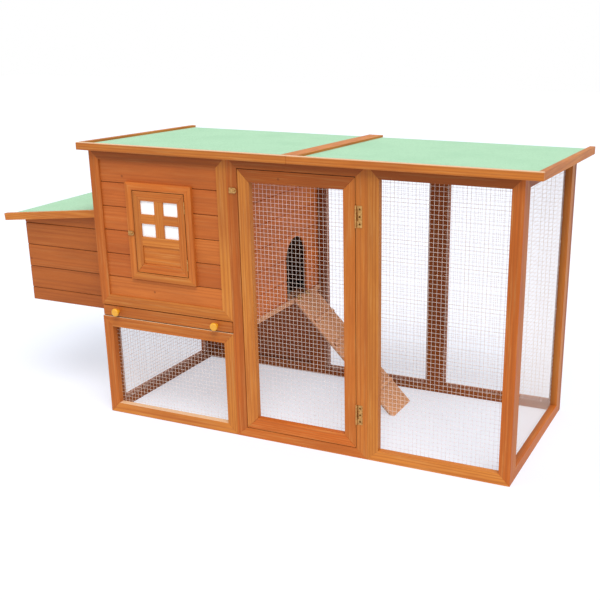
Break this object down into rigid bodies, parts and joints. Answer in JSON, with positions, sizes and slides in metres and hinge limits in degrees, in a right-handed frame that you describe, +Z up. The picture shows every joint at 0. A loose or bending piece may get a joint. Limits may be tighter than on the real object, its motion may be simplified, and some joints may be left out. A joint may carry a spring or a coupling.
{
  "type": "rabbit hutch",
  "caption": "Raised wooden rabbit hutch with a mesh run, nest box, ramp, slide-out tray, hinged window, run door and felted low roof.",
  "frame": {"origin": "on the ground, under the middle of the whole hutch's box", "axes": "+X along the front from the nest box to the run, +Y from the front to the back, +Z up"},
  "size_m": [2.145, 0.752, 1.0396],
  "materials": {
    "stained_fir": "sawn and planed fir battens with an amber water-based stain, satin",
    "stained_boards": "tongue and groove fir boards with the same amber stain, satin",
    "plain_deck": "softwood plywood and battens, unstained, matt",
    "galvanised_mesh": "hot-dip galvanised welded wire mesh",
    "galvanised_tray": "folded galvanised sheet",
    "brass_hinges": "brass-plated butt hinges",
    "brass_buttons": "brass-plated turn buttons with shoulder screws",
    "mint_felt": "mineral-faced roofing felt, pale mint green",
    "yellow_knobs": "turned knobs, glossy yellow lacquer",
    "opal_pane": "opal white acrylic sheet"
  },
  "bodies": {
    "root": {"back_house_boards": "stained_boards", "back_house_frame": "stained_fir", "back_middle_frame": "stained_fir", "back_middle_mesh": "galvanised_mesh", "back_right_frame": "stained_fir", "back_right_mesh": "galvanised_mesh", "button_screws": "brass_buttons", "door_bay_frame": "stained_fir", "floor_supports": "stained_fir", "hinge_fixed_leaves": "brass_hinges", "hinge_pins": "brass_hinges", "house_floor": "plain_deck", "house_front_boards": "stained_boards", "house_front_frame": "stained_fir", "left_lower_mesh": "galvanised_mesh", "left_side_boards": "stained_boards", "left_side_frame": "stained_fir", "lower_front_frame": "stained_fir", "lower_front_mesh": "galvanised_mesh", "nest_back_boards": "stained_boards", "nest_end_boards": "stained_boards", "nest_floor": "plain_deck", "nest_front_boards": "stained_boards", "nest_hinge_rail": "stained_fir", "nest_posts": "stained_fir", "partition_battens": "stained_fir", "partition_boards": "stained_boards", "right_end_frame": "stained_fir", "right_end_mesh": "galvanised_mesh", "roof_deck_left": "plain_deck", "roof_deck_right": "plain_deck", "roof_end_strips": "stained_fir", "roof_fascias": "stained_fir", "roof_felt_left": "mint_felt", "roof_felt_right": "mint_felt", "roof_joint_strip": "stained_fir", "roof_rafter": "plain_deck", "run_front_frame": "stained_fir", "run_front_mesh": "galvanised_mesh", "window_trim": "stained_fir"},
    "run_door": {"run_door_frame": "stained_fir", "run_door_mesh": "galvanised_mesh", "door_hinge_moving_leaves": "brass_hinges"},
    "window_leaf": {"window_leaf_frame": "stained_fir", "window_cross": "stained_fir", "window_pane": "opal_pane", "window_lower_panel": "stained_fir", "window_hinge_moving_leaves": "brass_hinges"},
    "door_turn_button": {"door_turn_button": "brass_buttons"},
    "window_turn_button": {"window_turn_button": "brass_buttons"},
    "tray": {"tray_front": "stained_fir", "tray_pan": "galvanised_tray", "tray_knobs": "yellow_knobs"},
    "nest_lid": {"nest_lid_deck": "plain_deck", "nest_lid_felt": "mint_felt", "nest_lid_strips": "stained_fir", "lid_hinge_moving_leaves": "brass_hinges"},
    "ramp": {"ramp_plank": "stained_fir", "ramp_cleats": "stained_fir", "ramp_hinge_moving_leaves": "brass_hinges"}
  },
  "joints": [
    {"name": "run_door_hinge", "type": "hinge", "parent": "root", "child": "run_door", "pos_m": [0.4649, -0.3574, 0.51], "axis": [0, 0, 1], "range_deg": [0, 150]},
    {"name": "window_hinge", "type": "hinge", "parent": "root", "child": "window_leaf", "pos_m": [-0.1865, -0.3619, 0.7305], "axis": [0, 0, 1], "range_deg": [0, 150]},
    {"name": "door_button_turn", "type": "hinge", "parent": "root", "child": "door_turn_button", "pos_m": [0.0145, -0.3565, 0.908], "axis": [0, 1, 0], "range_deg": [0, 180]},
    {"name": "window_button_turn", "type": "hinge", "parent": "root", "child": "window_turn_button", "pos_m": [-0.416, -0.3625, 0.72448], "axis": [0, 1, 0], "range_deg": [0, 180]},
    {"name": "tray_slide", "type": "slide", "parent": "root", "child": "tray", "axis": [0, -1, 0], "range_m": [0, 0.6]},
    {"name": "nest_lid_hinge", "type": "hinge", "parent": "root", "child": "nest_lid", "pos_m": [-0.62778, 0.0025, 0.77304], "axis": [0, 1, 0], "range_deg": [0, 80]},
    {"name": "ramp_hinge", "type": "hinge", "parent": "root", "child": "ramp", "pos_m": [-0.0045, 0.187, 0.4054], "axis": [0, -1, 0], "range_deg": [0, 105]}
  ]
}
